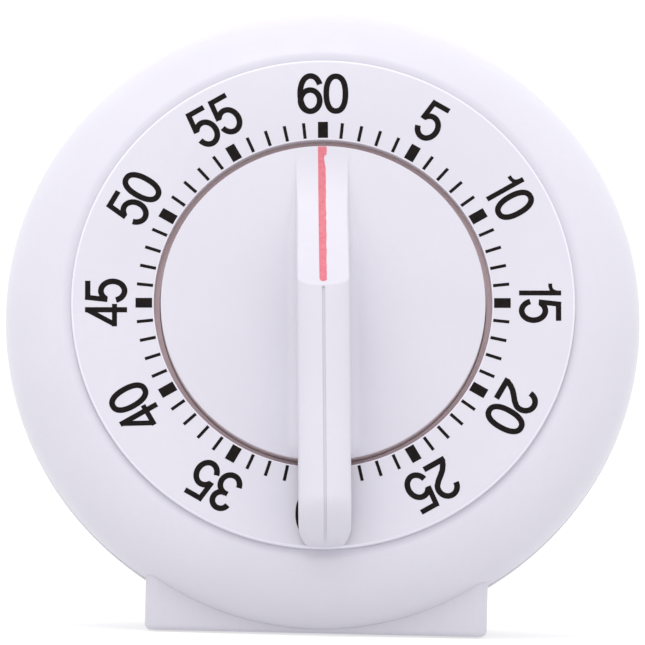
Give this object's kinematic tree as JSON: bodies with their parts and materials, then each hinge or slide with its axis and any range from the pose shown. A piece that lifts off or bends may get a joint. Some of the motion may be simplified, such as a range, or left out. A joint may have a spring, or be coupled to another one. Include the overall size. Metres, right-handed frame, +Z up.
{
  "type": "kitchen timer",
  "caption": "Wind-up dial kitchen timer: round white case leaning back on a flat foot, raised numbered dial, turning knob with a grip bar, clockwork and bell inside.",
  "frame": {"origin": "middle of the foot's flat underside", "axes": "+Z up, the dial faces -Y and leans back 15 degrees, +X to the reader's right"},
  "size_m": [0.076, 0.0558, 0.074],
  "materials": {
    "case_plastic": "satin moulded white with a faint lavender cast",
    "rear_plastic": "satin moulded white with a faint lavender cast",
    "dial_plastic": "satin moulded white with a faint lavender cast",
    "knob_plastic": "satin moulded white with a faint lavender cast",
    "brass": "rolled and stamped",
    "steel": "turned and polished",
    "spring_steel": "blued spring steel",
    "bell_metal": "nickel plated"
  },
  "bodies": {
    "case": {"front_housing": "case_plastic", "rear_housing": "rear_plastic", "dial_plate": "dial_plastic", "case_screw_top": "steel", "case_screw_left": "steel", "case_screw_right": "steel", "movement_screw_1": "steel", "movement_screw_2": "steel", "movement_screw_3": "steel", "front_plate": "brass", "back_plate": "brass", "pillar_1": "steel", "pillar_2": "steel", "pillar_3": "steel", "pillar_4": "steel", "pillar_screw_1": "steel", "pillar_screw_2": "steel", "pillar_screw_3": "steel", "pillar_screw_4": "steel", "stop_pin": "steel", "hairspring_stud": "steel", "release_post": "steel", "release_spring": "spring_steel", "bell": "bell_metal", "bell_post": "steel", "bell_nut": "steel"},
    "knob_and_arbor": {"knob": "knob_plastic", "main_arbor": "steel", "zero_cam": "brass", "ratchet_wheel": "steel"},
    "great_wheel_group": {"great_wheel": "brass", "click_stud": "steel", "click_spring": "spring_steel"},
    "click_pawl": {"click": "steel"},
    "barrel_group": {"spring_barrel": "brass", "barrel_cover": "brass", "mainspring": "spring_steel"},
    "second_group": {"second_pinion": "steel", "second_wheel": "brass"},
    "third_group": {"third_pinion": "steel", "third_wheel": "brass"},
    "escape_group": {"escape_pinion": "steel", "escape_wheel": "brass"},
    "pallet_group": {"pallet_arbor": "steel", "pallet_lever": "steel"},
    "balance_group": {"balance_staff": "steel", "balance_wheel": "brass", "hairspring": "spring_steel"},
    "strike_group": {"strike_pinion": "steel", "strike_wheel": "brass"},
    "hammer_group": {"hammer_arbor": "steel", "hammer_anchor": "steel", "hammer_stop": "steel", "hammer_arm": "steel", "hammer_head": "brass"},
    "release_group": {"release_lever": "steel"}
  },
  "joints": [
    {"name": "knob_turn", "type": "hinge", "parent": "case", "child": "knob_and_arbor", "pos_m": [0, -0.0075, 0.03705], "axis": [0, -0.9659, 0.2588], "range_deg": [-354, 0], "deforming": ["mainspring"]},
    {"name": "third_wheel_turn", "type": "hinge", "parent": "case", "child": "third_group", "pos_m": [-0.01621, -0.00864, 0.03278], "axis": [0, -0.9659, 0.2588], "continuous": true},
    {"name": "great_wheel_turn", "type": "hinge", "parent": "case", "child": "great_wheel_group", "pos_m": [0, -0.00509, 0.0364], "axis": [0, -0.9659, 0.2588], "continuous": true},
    {"name": "second_wheel_turn", "type": "hinge", "parent": "case", "child": "second_group", "pos_m": [-0.01642, -0.00636, 0.0413], "axis": [0, -0.9659, 0.2588], "continuous": true},
    {"name": "escape_wheel_turn", "type": "hinge", "parent": "case", "child": "escape_group", "pos_m": [-0.01236, -0.01033, 0.0265], "axis": [0, -0.9659, 0.2588], "continuous": true},
    {"name": "click_lift", "type": "hinge", "parent": "great_wheel_group", "child": "click_pawl", "pos_m": [0.004, -0.00474, 0.04348], "axis": [0, -0.9659, 0.2588], "range_deg": [-8, 0], "deforming": ["click_spring"]},
    {"name": "pallet_rock", "type": "hinge", "parent": "case", "child": "pallet_group", "pos_m": [-0.00722, -0.01134, 0.02272], "axis": [0, -0.9659, 0.2588], "range_deg": [-4, 4]},
    {"name": "balance_swing", "type": "hinge", "parent": "case", "child": "balance_group", "pos_m": [0.00113, -0.01189, 0.02067], "axis": [0, -0.9659, 0.2588], "range_deg": [-150, 150], "stiffness_Nm_per_rad": 0.0000074, "deforming": ["hairspring"]},
    {"name": "barrel_turn", "type": "hinge", "parent": "case", "child": "barrel_group", "pos_m": [0, 0.00023, 0.03498], "axis": [0, -0.9659, 0.2588], "continuous": true},
    {"name": "strike_wheel_turn", "type": "hinge", "parent": "case", "child": "strike_group", "pos_m": [0.01579, -0.00601, 0.0426], "axis": [0, -0.9659, 0.2588], "continuous": true},
    {"name": "hammer_swing", "type": "hinge", "parent": "case", "child": "hammer_group", "pos_m": [0.01694, -0.00827, 0.03417], "axis": [0, -0.9659, 0.2588], "range_deg": [-8, 8]},
    {"name": "release_lift", "type": "hinge", "parent": "case", "child": "release_group", "pos_m": [0.01302, -0.01033, 0.0265], "axis": [0, -0.9659, 0.2588], "range_deg": [0, 8], "stiffness_Nm_per_rad": 0.002, "deforming": ["release_spring"]}
  ],
  "couplings": [
    {"joint": "great_wheel_turn", "follows": "third_wheel_turn", "ratio": 0.016667},
    {"joint": "second_wheel_turn", "follows": "third_wheel_turn", "ratio": -0.125},
    {"joint": "escape_wheel_turn", "follows": "third_wheel_turn", "ratio": -8},
    {"joint": "strike_wheel_turn", "follows": "barrel_turn", "ratio": -9}
  ]
}
